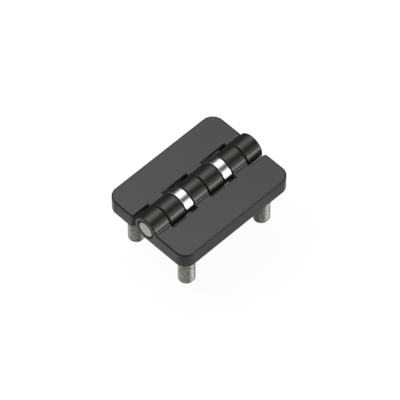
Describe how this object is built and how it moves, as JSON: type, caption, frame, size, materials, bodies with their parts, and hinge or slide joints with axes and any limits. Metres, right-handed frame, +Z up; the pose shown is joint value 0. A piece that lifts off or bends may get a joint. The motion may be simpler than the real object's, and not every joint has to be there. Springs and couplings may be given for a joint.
{
  "type": "door hinge",
  "caption": "Flat leaf hinge with interlocking knuckles, polished thrust rings on the pin and threaded studs under both leaves for blind fastening.",
  "frame": {"origin": "centre of the stud pattern, on the mounting plane under the leaves", "axes": "+Y along the pin, towards the far end; +X towards the right (door side) leaf; +Z up, away from the mounting plane"},
  "size_m": [0.0376, 0.05, 0.0277],
  "materials": {
    "leaf_coat": "fine matte black coating on zinc die casting",
    "ring_steel": "turned and polished stainless steel",
    "pin_steel": "ground steel with a faced end",
    "stud_steel": "rolled thread, dull zinc plate",
    "bush_polymer": "black self-lubricating polymer"
  },
  "bodies": {
    "frame_side": {"left_leaf": "leaf_coat", "left_stud_near": "stud_steel", "left_stud_far": "stud_steel", "left_bush_near": "bush_polymer", "left_bush_middle": "bush_polymer", "left_bush_far": "bush_polymer", "hinge_pin": "pin_steel", "thrust_ring_near": "ring_steel", "thrust_ring_far": "ring_steel"},
    "door_side": {"right_leaf": "leaf_coat", "right_stud_near": "stud_steel", "right_stud_far": "stud_steel", "right_bush_near": "bush_polymer", "right_bush_middle": "bush_polymer", "right_bush_far": "bush_polymer"}
  },
  "joints": [
    {"name": "leaf_hinge", "type": "hinge", "parent": "frame_side", "child": "door_side", "pos_m": [0, 0, 0.0051], "axis": [0, -1, 0], "range_deg": [-40, 150]}
  ]
}
